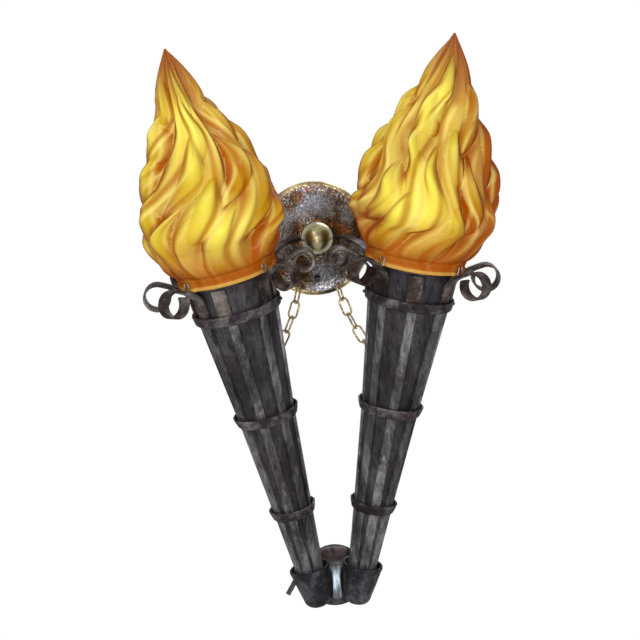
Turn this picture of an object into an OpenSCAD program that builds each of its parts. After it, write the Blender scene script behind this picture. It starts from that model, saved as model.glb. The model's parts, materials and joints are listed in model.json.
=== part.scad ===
// Double torch wall sconce: two iron torches in a V, each with a glass flame,
// held by a round backplate above and a pair of thimble cups below.
// Origin: middle of the backplate, on the wall. X right, -Y into the room, Z up.

/* [Torch stance] */
// Length of a torch from the rim of its cup to the seat of its glass
torch_len = 311.6; // [280:0.1:340]
// Lean of each torch away from the wall, in degrees
lean = 12; // [10:0.5:14]
// Splay of each torch to its own side, in degrees
splay = 12; // [10:0.5:14]
// Distance of each cup rim's middle from the centre line
foot_x = 27; // [26.5:0.1:29]
// Distance of each cup rim's middle from the wall
foot_y = 38; // [36:0.5:42]
// Drop of the glass seats' middles below the backplate's middle
seat_drop = 28.9; // [26:0.1:32]
// Turn of the left torch's ribs towards its outer side, in degrees
rib_turn_left = 11.5; // [8:0.5:14]
// Turn of the right torch's ribs towards its outer side, in degrees
rib_turn_right = 2; // [0:0.5:5]

/* [Torch body] */
// Outer radius of the sheet body at the cup rim
rim_r = 12.3; // [11:0.1:13]
// Outer radius of the sheet body at its low band
low_r = 17.4; // [16.5:0.1:18.5]
// Outer radius of the sheet body at its middle band
mid_r = 26.3; // [25:0.1:27.5]
// Outer radius of the sheet body at its top band
top_r = 38.3; // [37.5:0.1:39]
// Outer radius of the sheet body at its open top
mouth_r = 41; // [40.2:0.1:41.4]
// Thickness of the sheet body
shell_t = 1.4; // [1:0.1:1.8]
// Height of the low band above the cup rim
low_h = 63.6; // [55:0.1:75]
// Height of the middle band above the cup rim
mid_h = 166; // [155:0.5:178]
// Distance of the top band below the glass seat
top_drop = 35; // [33:0.5:37]

/* [Ribs and bands] */
// Number of rib straps round a torch
rib_count = 8; // [6:1:10]
// Width of a rib strap
rib_w = 8.6; // [6:0.1:9]
// Thickness of a rib strap
rib_t = 2; // [1.5:0.1:2.5]
// Height of a band
band_h = 9.4; // [7:0.1:11]
// Thickness of a band
band_t = 1.8; // [1.4:0.1:2.2]
// How far a band's upper edge flares out
band_flare = 1.7; // [1:0.1:2.4]
// Radius of a band rivet's head
rivet_r = 1.7; // [1.3:0.1:2.2]

/* [Scrolls] */
// Turn of the left torch's front strap towards its outer side, in degrees
strap_turn_left = 18; // [12:0.5:20]
// Turn of the right torch's front strap towards its outer side, in degrees
strap_turn_right = 0; // [-4:0.5:6]
// Azimuth of the outer front scroll from the front, in degrees
outer_front = 52; // [50:0.5:54]
// Azimuth of the inner front scroll from the front, in degrees
inner_front = 47; // [44:0.5:50]
// Azimuth of the side scrolls from the front, in degrees
side_turn = 95; // [92:0.5:98]
// Azimuth of the rear scroll and the rear pins from the front, in degrees
rear_turn = 142; // [138:0.5:146]
// Width of a scroll strap
strap_w = 13.6; // [11:0.1:15]
// Thickness of a scroll strap
strap_t = 2.2; // [1.8:0.1:2.4]
// Distance of a scroll's eye from the torch's axis
eye_u = 71; // [69:0.5:73]
// Drop of a scroll's eye below the glass seat
eye_drop = 5; // [4:0.5:7]
// Outer radius of the open scrolls
scroll_r = 13.6; // [12.5:0.1:14.2]
// Outer radius of the tightly rolled scrolls on the inner side
coil_r = 11.6; // [10.8:0.1:12.5]
// Distance of the rolled scrolls' eyes from the torch's axis
coil_u = 74; // [72:0.5:75]

/* [Glass] */
// Outer radius of the glass's neck
neck_r = 49.25; // [48.5:0.05:49.6]
// Height of the glass's neck
neck_h = 11; // [10:0.5:12]
// Largest radius of the glass flame
flame_r = 78; // [74:0.5:78]
// Height of the glass from its rim to its tip
flame_h = 226; // [210:1:240]
// Depth of the grooves between the flame's tongues
tongue_depth = 13; // [9:0.1:14]
// Sideways wave of a tongue on its way up, in degrees
tongue_wave = 8; // [6:0.1:18]
// Twist of a ring of tongues over the strands, in degrees
tongue_twist = 12; // [0:1:30]
// Turn of each ring of tongues from the one below, in degrees
ring_turn = 75; // [0:1:180]
// Twist of the relief from the neck to the tip, in degrees
flow_twist = 80; // [0:1:90]
// Sideways wave of the relief, in degrees
flow_wave = 16; // [8:0.5:22]
// Thickness of the glass
glass_t = 3.2; // [2.6:0.1:3.8]
// How far the lugs moulded on the glass's neck stand out
lug_t = 2; // [1:0.1:2.4]

/* [Shade seat] */
// Outer radius of the seat ring
seat_r = 46.4; // [45.5:0.1:47]
// Thickness of the seat ring
seat_t = 2; // [1.6:0.1:2.4]
// Radius of a shade pin
pin_r = 0.9; // [0.7:0.05:1.1]
// Height of the shade pins above the glass seat
pin_top = 9; // [7:0.5:10]

/* [Lamp] */
// Radius of the lamp holder's body
holder_r = 14; // [13:0.1:16]
// Height of the lamp holder
holder_h = 34; // [30:0.5:38]
// Radius of the threaded stem
stem_r = 4.8; // [4.5:0.1:5.2]
// Radius of the lamp's bulb
bulb_r = 22; // [18:0.5:24]
// Length of the lamp above its holder
bulb_len = 58; // [50:1:66]

/* [Backplate] */
// Radius of the backplate
plate_r = 57.6; // [56:0.1:60]
// Depth of the backplate's dish
plate_depth = 20; // [18:0.5:22]
// Thickness of the backplate
plate_t = 1.6; // [1.2:0.1:2]
// Radius of the ball nut
ball_r = 16.2; // [15:0.1:17]
// Spacing of the wall box screws
box_spacing = 88.9; // [83:0.1:89]
// Radius of a wall box screw hole
box_hole_r = 2.2; // [2:0.05:2.4]

/* [Arms] */
// Width of an arm strap
arm_w = 14; // [10:0.5:15]
// Thickness of an arm strap
arm_t = 3; // [2.4:0.1:3.4]

/* [Cups and foot] */
// Outer radius of a cup's rim
cup_r = 20.4; // [19.8:0.1:20.6]
// Depth of a cup
cup_h = 42.5; // [40:0.5:45]
// Wall thickness of a cup
cup_t = 1.7; // [1.4:0.1:1.9]
// Half width of the foot plate
foot_plate_r = 31; // [28:0.5:34]
// Height of the foot plate's top above the cup rims
foot_plate_up = 15; // [12:0.5:18]
// Drop of the foot plate's bottom below the cup rims
foot_plate_down = 39; // [36:0.5:42]
// Thickness of the foot plate
foot_plate_t = 4; // [3:0.1:5]
// Width of the foot bar between the cups
foot_bar_w = 7.4; // [6.5:0.1:7.6]

/* [Chains] */
// Length of a chain link
link_len = 20; // [18:0.1:21]
// Width of a chain link
link_w = 11; // [10:0.1:12]
// Radius of the chain's wire
wire_r = 1; // [0.9:0.05:1.1]
// Number of links in a chain
link_count = 7; // [7:1:7]

/* [Hidden] */

IRON = [0.20, 0.18, 0.19];
DARK_IRON = [0.12, 0.11, 0.12];
WORN_IRON = [0.32, 0.29, 0.29];
BRASS = [0.48, 0.42, 0.22];
RUSTY_BRASS = [0.55, 0.38, 0.20];
AMBER = [0.88, 0.58, 0.12, 0.9];
LAMP_GLASS = [0.95, 0.92, 0.85, 0.6];
PORCELAIN = [0.85, 0.83, 0.78];

// Clearance between pieces that touch, and between a moving piece and its seat
seat_gap = 0.1;
move_gap = 0.3;
running_gap = 0.05;
through = 1;
fine = 96;
round_fn = 48;
small_fn = 24;
wire_fn = 16;

// ---- places --------------------------------------------------------------
// Points and directions are [x, y, z] in the sconce's frame; side is 1 right, -1 left.
torch_axis = [sin(splay) * cos(lean), -sin(lean), cos(splay) * cos(lean)];
foot_drop = seat_drop + torch_len * torch_axis[2];
foot_at = [foot_x, -foot_y, -foot_drop];
function rib_turn(side) = side < 0 ? rib_turn_left : rib_turn_right;
function across(p, side) = [side * p[0], p[1], p[2]];
function length_of(v) = sqrt(v * v);
function unit(v) = v / length_of(v);
// A point given in the right torch's own frame, in the sconce's frame.
function from_torch(p) = foot_at + [
    p[0] * cos(splay) + (p[1] * sin(lean) + p[2] * cos(lean)) * sin(splay),
    p[1] * cos(lean) - p[2] * sin(lean),
    -p[0] * sin(splay) + (p[1] * sin(lean) + p[2] * cos(lean)) * cos(splay)];

// Mirrors its children to the left when side is -1.
module on_side(side) {
    if (side < 0) mirror([1, 0, 0]) children();
    else children();
}
// Stands its children on the torch's axis, the cup rim at their zero height.
module on_torch(side) {
    on_side(side) translate(foot_at) rotate([lean, splay, 0]) children();
}
// Turns its children, drawn in the XZ plane with +X outwards, to an azimuth
// counted from the front towards the torch's outer side.
module at_azimuth(a) {
    rotate([0, 0, a - 90]) children();
}
// A flat strap: a path of [u, v] points in the XZ plane, thickened and given a width along Y.
function path_dir(p, i) = unit(p[min(i + 1, len(p) - 1)] - p[max(i - 1, 0)]);
function offset_path(p, d) = [for (i = [0:len(p) - 1])
    p[i] + d * [-path_dir(p, i)[1], path_dir(p, i)[0]]];
module strap(path, thick, width) {
    left = offset_path(path, thick / 2);
    right = offset_path(path, -thick / 2);
    n = len(path);
    rotate([90, 0, 0]) translate([0, 0, -width / 2]) linear_extrude(width)
        polygon(concat(left, [for (i = [1:n]) right[n - i]]));
}
function bezier(a, b, c, d, t) =
    pow(1 - t, 3) * a + 3 * pow(1 - t, 2) * t * b + 3 * (1 - t) * t * t * c + t * t * t * d;

// ---- torch body ----------------------------------------------------------
top_h = torch_len - top_drop;
mouth_h = torch_len - seat_t - 2 * seat_gap;
plug_h = cup_h - cup_t - 2;
foot_h = -plug_h + 4;
sheet = [[foot_h, rim_r + (low_r - rim_r) * foot_h / low_h], [low_h, low_r], [mid_h, mid_r],
    [top_h, top_r], [mouth_h, mouth_r]];
function sheet_r(h) = lookup(h, sheet);

// A ring that follows the sheet's taper from height h0 to h1, from radius offset d0 to d1.
module sheet_ring(h0, h1, d0, d1) {
    inner = concat([h0], [for (s = sheet) if (s[0] > h0 && s[0] < h1) s[0]], [h1]);
    n = len(inner);
    rotate_extrude($fn = fine) polygon(concat(
        [for (h = inner) [sheet_r(h) + d0, h]],
        [for (i = [1:n]) [sheet_r(inner[n - i]) + d1, inner[n - i]]]));
}
module torch_body(side) {
    color(DARK_IRON) on_torch(side) sheet_ring(foot_h, mouth_h, -shell_t, 0);
}
strap_foot = top_h - 2;
rib_top = strap_foot - 2 * seat_gap;
module rib_straps(side) {
    reach = top_r + 2 * rib_t;
    color(IRON) on_torch(side) intersection() {
        sheet_ring(foot_h, rib_top, seat_gap, rib_t);
        rotate([0, 0, rib_turn(side) - 90]) for (i = [0:rib_count - 1]) rotate([0, 0, i * 360 / rib_count])
            translate([0, -rib_w / 2, foot_h - through])
            cube([reach, rib_w, rib_top - foot_h + 2 * through]);
    }
}
// A flared hoop that stands on the ribs.
band_swell = 1.15;
module band(h, clear, flare) {
    low = h - band_h / 2;
    high = h + band_h / 2;
    r0 = sheet_r(low) + clear;
    r1 = sheet_r(high) + clear + flare;
    rotate_extrude($fn = fine) polygon([[r0, low], [r0 + band_t * 0.6, low - 0.4],
        [r0 + band_t, low + 0.4], [(r0 + r1) / 2 + band_t * band_swell, h], [r1 + band_t, high - 0.8],
        [r1 + band_t * 0.6, high], [r1, high - 0.3]]);
}
top_flare = 0.2;
rib_clear = rib_t + 0.25;
// Straps are flat, so their edges stand further from the axis than their middles.
strap_clear = sqrt(pow(top_r + seat_gap + strap_t, 2) + pow(strap_w / 2, 2)) - top_r + 0.3;
module low_band(side) { color(WORN_IRON) on_torch(side) band(low_h, rib_clear, band_flare); }
module middle_band(side) { color(WORN_IRON) on_torch(side) band(mid_h, rib_clear, band_flare); }
module top_band(side) { color(WORN_IRON) on_torch(side) band(top_h, strap_clear, top_flare); }

// Domed rivets that stand out of a band, one over each rib.
module rivet(r) {
    intersection() {
        sphere(r = r, $fn = small_fn);
        translate([0, -r, -r]) cube([r, 2 * r, 2 * r]);
    }
}
module rivet_ring(h, clear, flare, turn, count) {
    rise = (sheet_r(h + band_h / 2) - sheet_r(h - band_h / 2) + flare) / 2;
    face = sheet_r(h) + clear + band_t * band_swell + flare / 2 + 0.15;
    for (i = [0:count - 1]) at_azimuth(turn + i * 360 / count)
        translate([face, 0, h]) rotate([0, atan2(rise, band_h / 2), 0]) rivet(rivet_r);
}
module band_rivets(side) {
    color(IRON) on_torch(side) {
        rivet_ring(low_h, rib_clear, band_flare, rib_turn(side) + 22, 4);
        rivet_ring(mid_h, rib_clear, band_flare, rib_turn(side) + 22, 4);
        rivet_ring(top_h, strap_clear, top_flare, rib_turn(side), 8);
    }
}

// ---- straps and scrolls --------------------------------------------------
function wall_u(h) = sheet_r(h) + seat_gap + strap_t / 2;
leave_h = torch_len - 15;
// The scroll's path: up the torch wall, out under the glass and round the eye.
function scroll_path(r, turn, roll) =
    let (c = [roll == 0 ? eye_u : coil_u, torch_len - eye_drop], rm = r - strap_t / 2, start = 118,
        a = [wall_u(leave_h), leave_h],
        d = c + rm * [cos(start), sin(start)],
        t = [sin(start), -cos(start)])
    concat([[wall_u(strap_foot), strap_foot], [wall_u(top_h), top_h]],
        [for (i = [0:9]) bezier(a, a + [0.6, 9], d - 11 * t, d, i / 10)],
        [for (g = [10:10:turn]) let (k = rm - (strap_t + 0.8) * max(0, g - 60) / 360 * roll)
            c + k * [cos(start - g), sin(start - g)]]);
module scroll(side, a, r, turn, roll = 0) {
    on_torch(side) at_azimuth(a) strap(scroll_path(r, turn, roll), strap_t, strap_w);
}
open_turn = 316;
coil_turn = 420;
module side_scrolls(side) {
    color(IRON) {
        scroll(side, side_turn, scroll_r, open_turn);
        scroll(side, -side_turn + 12, coil_r, coil_turn, 1);
    }
}
module front_scrolls(side) {
    color(WORN_IRON) {
        scroll(side, outer_front, scroll_r, open_turn);
        scroll(side, -inner_front, scroll_r, open_turn);
    }
}
// On the inner side the arm takes the rear scroll's place.
module rear_scroll(side) {
    color(IRON) scroll(side, rear_turn, coil_r, open_turn);
}
module plain_straps(side) {
    front = side < 0 ? strap_turn_left : strap_turn_right;
    color(WORN_IRON) on_torch(side) for (a = [front, 187]) at_azimuth(a)
        strap([[wall_u(strap_foot), strap_foot], [wall_u(top_h), top_h],
            [wall_u(mouth_h - 6), mouth_h - 6], [wall_u(mouth_h) + 0.6, mouth_h - 1.5]], strap_t, strap_w);
}

// ---- glass seat and lamp -------------------------------------------------
seat_h = torch_len - seat_t - seat_gap;
pin_u = neck_r + lug_t + move_gap + pin_r;
pin_spread = 2.4;
inner_rear = 128;
// The ring has a lug at the inner rear, for the pins that no scroll carries.
module seat_ring(side) {
    lug_w = 9;
    lug_root = 4;
    lug_end = 3;
    color(IRON) on_torch(side) difference() {
        translate([0, 0, seat_h]) union() {
            cylinder(h = seat_t, r = seat_r, $fn = fine);
            at_azimuth(-inner_rear) translate([seat_r - lug_root, -lug_w / 2, 0])
                cube([pin_u + lug_end - seat_r + lug_root, lug_w, seat_t]);
        }
        translate([0, 0, seat_h - through])
            cylinder(h = seat_t + 2 * through, r = mouth_r - 6, $fn = fine);
    }
}
// Top of a scroll's strap at a distance u from the torch's axis, in its rise below the glass.
function strap_top(u, r) = let (rise = [for (p = scroll_path(r, 10, 0)) if (p[1] > leave_h) p],
        slope = lookup(u + 1, rise) - lookup(u, rise))
    lookup(u, rise) + strap_t / 2 * sqrt(1 + slope * slope);
module pin_pair(a, foot) {
    at_azimuth(a) for (w = [-1, 1]) translate([pin_u, w * pin_spread, foot])
        cylinder(h = torch_len + pin_top - foot, r = pin_r, $fn = small_fn);
}
module shade_pins(side) {
    color(WORN_IRON) on_torch(side) {
        for (a = [outer_front - 2, -inner_front + 5])
            pin_pair(a, strap_top(pin_u + pin_r, scroll_r) + seat_gap);
        pin_pair(rear_turn, strap_top(pin_u + pin_r, coil_r) + seat_gap);
        pin_pair(-inner_rear, seat_h + seat_t + seat_gap);
    }
}
bridge_h = torch_len - 26;
bridge_t = 2.5;
bridge_w = 18;
stem_nut_t = 3.4;
module holder_bridge(side) {
    reach = sheet_r(bridge_h) - shell_t - 0.2;
    color(IRON) on_torch(side) difference() {
        intersection() {
            translate([-reach - through, -bridge_w / 2, bridge_h])
                cube([2 * reach + 2 * through, bridge_w, bridge_t]);
            translate([0, 0, bridge_h - through]) cylinder(h = bridge_t + 2 * through, r = reach, $fn = fine);
        }
        translate([0, 0, bridge_h - through])
            cylinder(h = bridge_t + 2 * through, r = stem_r + running_gap, $fn = round_fn);
    }
}
holder_base = bridge_h + bridge_t + stem_nut_t;
stem_low = bridge_h - 10;
module holder_stem(side) {
    color(BRASS) on_torch(side) {
        translate([0, 0, stem_low]) cylinder(h = holder_base + 6 - stem_low, r = stem_r, $fn = round_fn);
        translate([0, 0, bridge_h - stem_nut_t - seat_gap]) difference() {
            cylinder(h = stem_nut_t, r = stem_r + 3.7, $fn = 6);
            translate([0, 0, -through])
                cylinder(h = stem_nut_t + 2 * through, r = stem_r - 0.3, $fn = round_fn);
        }
    }
}
socket_r = holder_r - 2;
cap_r = 9.5;
module lamp_holder(side) {
    depth = holder_h - 8;
    color(PORCELAIN) on_torch(side) translate([0, 0, holder_base]) difference() {
        rotate_extrude($fn = round_fn) polygon([[0, 0], [holder_r - 3, 0], [holder_r, 3],
            [holder_r, holder_h - 10], [holder_r + 1.5, holder_h - 9], [holder_r + 1.5, holder_h - 6],
            [holder_r - 0.5, holder_h - 5], [holder_r - 0.5, holder_h], [0, holder_h]]);
        translate([0, 0, holder_h - depth]) cylinder(h = depth + through, r = socket_r, $fn = round_fn);
        translate([0, 0, -through]) cylinder(h = 6 + 2 * through, r = stem_r + running_gap, $fn = round_fn);
    }
}
bulb_base = holder_base + 10;
bulb_top = holder_base + holder_h + bulb_len;
module bulb(side) {
    neck = holder_base + holder_h + 4;
    belly = bulb_top - bulb_r;
    color(LAMP_GLASS) on_torch(side) rotate_extrude($fn = round_fn) polygon(concat(
        [[0, bulb_base], [5, bulb_base], [socket_r - running_gap, bulb_base + 4],
            [socket_r - running_gap, neck - 3], [cap_r + 2.4, neck]],
        [for (i = [1:6]) let (p = bezier([cap_r + 2.4, neck], [cap_r + 4, neck + 8],
            [bulb_r, belly - 16], [bulb_r, belly], i / 6)) p],
        [for (a = [10:10:90]) [bulb_r * cos(a), belly + bulb_r * sin(a)]]));
}

// ---- glass flame ---------------------------------------------------------
// The flame's plain profile, [height, radius]: a round belly, then a long ogee to the tip.
// The glass is nowhere thinner about its axis than tip_r.
tip_r = 1;
belly_h = flame_h * 0.257;
profile = concat(
    [[0, neck_r]],
    [for (i = [0:8]) bezier([neck_h, neck_r], [neck_h * 1.2, neck_r + (flame_r - neck_r) * 0.25],
        [belly_h * 0.53, flame_r], [belly_h, flame_r], i / 8)],
    [for (i = [1:16]) bezier([belly_h, flame_r], [belly_h * 1.8, flame_r],
        [flame_h * 0.863, flame_r * 0.205], [flame_h, tip_r], i / 16)]);
function plain_r(z) = lookup(z, profile);
// Tongues stand in rings, one over another. A ring's root and tip are shares of the flame's
// height. Each ring is turned from the last, and all twist the same way as they rise.
tongue_rings = 5;
tongue_low = 7;
tongue_high = 5;
tip_stagger = 0.05;
function ring_root(k) = 0.165 * k;
function ring_tip(k) = 0.36 + 0.153 * k;
function ring_count(k) = k < tongue_rings / 2 ? tongue_low : tongue_high;
// Height of a ring's tongues over the grooves, at base azimuth a and a share h of the flame's height.
function tongue(a, h, k) = let (root = ring_root(k), rise = (h - root) / (ring_tip(k) - root),
        first = ring_turn * k, turn = a - first - tongue_twist * rise - tongue_wave * sin(330 * rise),
        step = 360 / ring_count(k), low = floor(turn / step))
    max([for (i = [low, low + 1]) let (n = i - ring_count(k) * floor(i / ring_count(k)),
        tip = ring_tip(k) + tip_stagger * sin(137 * n + first), t = (h - root) / (tip - root))
        t <= 0 || t >= 1 ? 0 : let (half = sqrt(min(1, 4 * t)) * pow(1 - t, 0.6),
            off = abs(turn - i * step) / step * 2 / half)
        off >= 1 ? 0 : (1 - off * off) * (1 + 0.05 * k) * min(1, 0.3 + t) * (1 - pow(t, 6))]);
// Strands run up the glass between the tongues.
strand_count = 8;
strand_height = 0.6;
function strand(a) = strand_height * pow(0.5 + 0.5 * cos(strand_count * a), 0.8);
// Strands and tongues all follow the flow, which turns and waves as it rises from the neck.
flow_swing = 500;
function flow(a, z) = let (h = z / flame_h, lift = min(1, max(0, z - neck_h) / (flame_h * 0.15)))
    a + lift * (flow_twist * h + flow_wave * sin(flow_swing * h + a));
// The relief fades out into the neck and towards the tip.
function relief(z) = z <= neck_h ? 0
    : min(1, (z - neck_h) / (flame_h * 0.12)) * min(1, 0.22 + plain_r(z) / (flame_r * 0.76));
function flame_at(a, z) = let (rings = [for (k = [0:tongue_rings - 1]) tongue(a, z / flame_h, k)])
    plain_r(z) + relief(z) * tongue_depth * (max(strand(a), max(rings)) - 1);
// Lugs on the neck, counted from the front on both sides.
mould_turn_left = 54;
mould_turn_right = 258;
lug_turn = 50;
lug_half = 8.5;
lug_h = 14;
function lug_at(a, z) = z > lug_h ? 0
    : abs(abs(a + 90 - 360 * floor((a + 270) / 360)) - lug_turn) < lug_half ? neck_r + lug_t : 0;
flame_sides = 64;
flame_rings = 50;
hollow_sides = 32;
hollow_rings = 12;
// The flame's own frame has its rim at zero height; turn is the mould's about the axis.
module flame_shell(turn) {
    hollow_top = flame_h * 0.86;
    outer = [for (i = [0:flame_rings - 1]) let (z = i < 3 ? [0, neck_h * 0.6, neck_h][i]
            : neck_h + (flame_h * 0.985 - neck_h) * (i - 2) / (flame_rings - 3))
        for (j = [0:flame_sides - 1]) let (base = j * 360 / flame_sides, a = flow(base, z) + turn,
            r = max(flame_at(base, z), lug_at(a, z), tip_r))
            [r * cos(a), r * sin(a), z]];
    inner = [for (i = [0:hollow_rings - 1]) let (z = i < 2 ? [0, neck_h][i]
            : neck_h + (hollow_top - neck_h) * (i - 1) / (hollow_rings - 2))
        for (j = [0:hollow_sides - 1]) let (a = j * 360 / hollow_sides + turn,
            r = max(glass_t / 2, plain_r(z) - glass_t - relief(z) * tongue_depth))
            [r * cos(a), r * sin(a), z]];
    n_out = len(outer);
    n_in = len(inner);
    points = concat(outer, inner, [[0, 0, flame_h], [0, 0, hollow_top + glass_t]]);
    tip = n_out + n_in;
    sides = concat(
        [for (i = [0:flame_rings - 2]) for (j = [0:flame_sides - 1])
            let (k = (j + 1) % flame_sides, a = i * flame_sides, b = a + flame_sides)
            each [[a + j, a + k, b + k], [a + j, b + k, b + j]]],
        [for (j = [0:flame_sides - 1]) let (k = (j + 1) % flame_sides, a = n_out - flame_sides)
            [a + j, a + k, tip]]);
    hollow = concat(
        [for (i = [0:hollow_rings - 2]) for (j = [0:hollow_sides - 1])
            let (k = (j + 1) % hollow_sides, a = n_out + i * hollow_sides, b = a + hollow_sides)
            each [[a + j, b + k, a + k], [a + j, b + j, b + k]]],
        [for (j = [0:hollow_sides - 1]) let (k = (j + 1) % hollow_sides, a = tip - hollow_sides)
            [a + j, tip + 1, a + k]]);
    // The rim joins two outer sides to each inner one.
    rim = [for (j = [0:hollow_sides - 1])
        let (k = (j + 1) % hollow_sides, o = 2 * j, p = 2 * j + 1, q = (2 * j + 2) % flame_sides, m = n_out)
        each [[o, m + j, p], [p, m + j, m + k], [p, m + k, q]]];
    polyhedron(points, [for (f = concat(sides, hollow, rim)) [f[0], f[2], f[1]]]);
}
module shade(side, turn) {
    color(AMBER) translate(across(from_torch([0, 0, torch_len]), side))
        rotate([lean, side * splay, 0]) flame_shell(turn);
}

// ---- cups and foot -------------------------------------------------------
cup_floor_r = 4.5;
cup_round = 9.5;
// Outer outline of a cup, grown by g, as [radius, height] points from the bottom up.
function cup_outline(g) = concat([[0, -cup_h - g]],
    [for (a = [-80:10:0]) [cup_floor_r, cup_round - cup_h] + (cup_round + g) * [cos(a), sin(a)]],
    [[cup_r * 0.85 + g, -cup_h * 0.4], [cup_r - 0.9 + g, -5], [cup_r + g, -2], [cup_r - 0.4 + g, g]]);
module cup(side) {
    color(IRON) on_torch(side) difference() {
        rotate_extrude($fn = fine) polygon(concat(cup_outline(0), [[0, 0]]));
        rotate_extrude($fn = fine) polygon(concat(cup_outline(-cup_t),
            [[cup_r - 0.4 - cup_t, through], [0, through]]));
        if (side < 0) clamp_screw_place() cube([screw_w + 0.3, screw_w + 0.3, 60], center = true);
    }
}
// A square-ended clamp screw, driven slanting into the left cup.
screw_w = 3.8;
screw_len = 20;
module clamp_screw_place() {
    at_azimuth(80) translate([19.4, 0, -11.5]) rotate([0, 135, 0]) children();
}
module clamp_screw() {
    color(DARK_IRON) on_torch(-1) clamp_screw_place()
        translate([-screw_w / 2, -screw_w / 2, -6]) cube([screw_w, screw_w, screw_len - 1.6]);
}
// The plug closes the torch's foot and rests on the cup's floor.
module foot_plug(side) {
    base = -cup_h + cup_t + 0.2;
    plug_r = 10;
    spigot_r = sheet_r(foot_h) - shell_t - 0.2;
    color(IRON) on_torch(side) rotate_extrude($fn = round_fn) polygon([[0, base],
        [cup_floor_r + 1, base], [cup_floor_r + 3.5, base + 1], [plug_r, base + 3.5],
        [plug_r, foot_h - 0.1], [spigot_r, foot_h - 0.1],
        [spigot_r, foot_h + 5], [0, foot_h + 5]]);
}
foot_z = -foot_drop;
module foot_outline() {
    translate([0, foot_plate_up - foot_plate_r]) circle(r = foot_plate_r, $fn = fine);
    translate([-foot_plate_r, -foot_plate_down])
        square([2 * foot_plate_r, foot_plate_down + foot_plate_up - foot_plate_r]);
}
foot_hole_r = 2.4;
foot_hole_x = foot_plate_r - 9;
foot_hole_z = -12;
module at_foot_holes() {
    for (s = [-1, 1]) translate([s * foot_hole_x, 0, foot_z + foot_hole_z]) rotate([90, 0, 0]) children();
}
module foot_plate() {
    color(IRON) difference() {
        translate([0, 0, foot_z]) rotate([90, 0, 0]) linear_extrude(foot_plate_t) foot_outline();
        at_foot_holes() translate([0, 0, -through])
            cylinder(h = foot_plate_t + 2 * through, r = foot_hole_r, $fn = round_fn);
    }
}
// Right half of the foot bar's outline seen from the front, from the top down.
bar_top = foot_plate_up - 0.5;
bar_shoulder = 14;
bar_corner = 5;
bar_waist_h = -14;
bar_low = foot_plate_down - 4;
function bar_half() = concat(
    [for (a = [90:-15:0]) [bar_shoulder * cos(a), bar_top - bar_corner + bar_corner * sin(a)]],
    [for (i = [1:8]) bezier([bar_shoulder, bar_top - bar_corner], [bar_shoulder, -3],
        [foot_bar_w / 2, 1], [foot_bar_w / 2, bar_waist_h], i / 8)],
    [for (i = [1:6]) bezier([foot_bar_w / 2, bar_waist_h], [foot_bar_w / 2, bar_waist_h - 10],
        [foot_bar_w / 2, 7 - bar_low], [foot_bar_w * 0.75, -bar_low], i / 6)]);
// The waisted bar stands out between the cups, cut back to clear them and the torches.
module foot_bar() {
    back = foot_plate_t + seat_gap;
    front = foot_y - 6;
    half = bar_half();
    n = len(half) - 1;
    color(WORN_IRON) difference() {
        translate([0, -back, foot_z]) rotate([90, 0, 0]) linear_extrude(front - back)
            polygon(concat(half, [for (i = [0:n]) [-half[n - i][0], half[n - i][1]]]));
        for (side = [-1, 1]) on_torch(side) rotate_extrude($fn = fine) polygon(concat(
            cup_outline(move_gap), [[sheet_r(0) + rib_t + move_gap, move_gap],
            [sheet_r(low_h) + rib_t + move_gap, low_h], [0, low_h]]));
        // A round scoop slopes the shoulders back to the wall.
        translate([-bar_shoulder - through, -front - 2, foot_z + bar_top + 3]) rotate([0, 90, 0])
            cylinder(h = 2 * (bar_shoulder + through), r = foot_y / 2, $fn = round_fn);
    }
}

// ---- backplate and its fittings ------------------------------------------
dish = plate_depth - 4;
// Outline of the plate's outside, as [radius, distance from the wall].
function plate_outside(g) = concat(
    [for (a = [90:-15:0]) [plate_r - 4 + (4 - g) * sin(a), (4 - g) * cos(a) + 1]],
    [for (i = [1:10]) bezier([plate_r - 6, 5.4 - g], [plate_r - 18, 3 - g],
        [plate_r * 0.52, plate_depth - 2 - g], [plate_r * 0.31, plate_depth - g], i / 10)]);
module backplate() {
    outside = concat([[plate_r, 0]], plate_outside(0), [[0, plate_depth]]);
    inside = concat([[plate_r - plate_t, 0]], plate_outside(plate_t), [[0, plate_depth - plate_t]]);
    n = len(inside);
    color(RUSTY_BRASS) rotate([90, 0, 0]) difference() {
        rotate_extrude($fn = fine) polygon(concat(outside, [for (i = [1:n]) inside[n - i]]));
        translate([0, 0, -through])
            cylinder(h = plate_depth + 2 * through, r = nipple_r + running_gap, $fn = round_fn);
        translate([0, -plate_screw_z, -through])
            cylinder(h = plate_depth + 2 * through, r = 2.1, $fn = small_fn);
    }
}
nipple_r = 4.8;
plate_screw_z = plate_r * 0.71;
screw_head_r = 3.6;
// The screw's head rests on the plate's outside by its inner edge.
plate_screw_y = let (out = plate_outside(0), n = len(out) - 1)
    lookup(plate_screw_z - screw_head_r, [for (i = [0:n]) out[n - i]]) + seat_gap;
bar_t = 3;
bar_w = 15;
bar_clear = 4.9;
module crossbar() {
    half = plate_r - bar_clear;
    color(WORN_IRON) difference() {
        translate([-half, -bar_t, -bar_w / 2]) cube([2 * half, bar_t, bar_w]);
        rotate([90, 0, 0]) translate([0, 0, -through])
            cylinder(h = bar_t + 2 * through, r = nipple_r + running_gap, $fn = round_fn);
        for (s = [-1, 1]) translate([s * box_spacing / 2, through, 0]) rotate([90, 0, 0])
            cylinder(h = bar_t + 2 * through, r = box_hole_r, $fn = round_fn);
    }
}
tab_t = 3;
tab_y = plate_depth + seat_gap;
nut_y = tab_y + 2 * (tab_t + seat_gap);
nut_t = 5;
nut_r = 8;
ball_y = nut_y + nut_t + seat_gap + ball_r + 2;
module nipple() {
    color(BRASS) rotate([90, 0, 0]) cylinder(h = ball_y - 3, r = nipple_r, $fn = round_fn);
}
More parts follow.
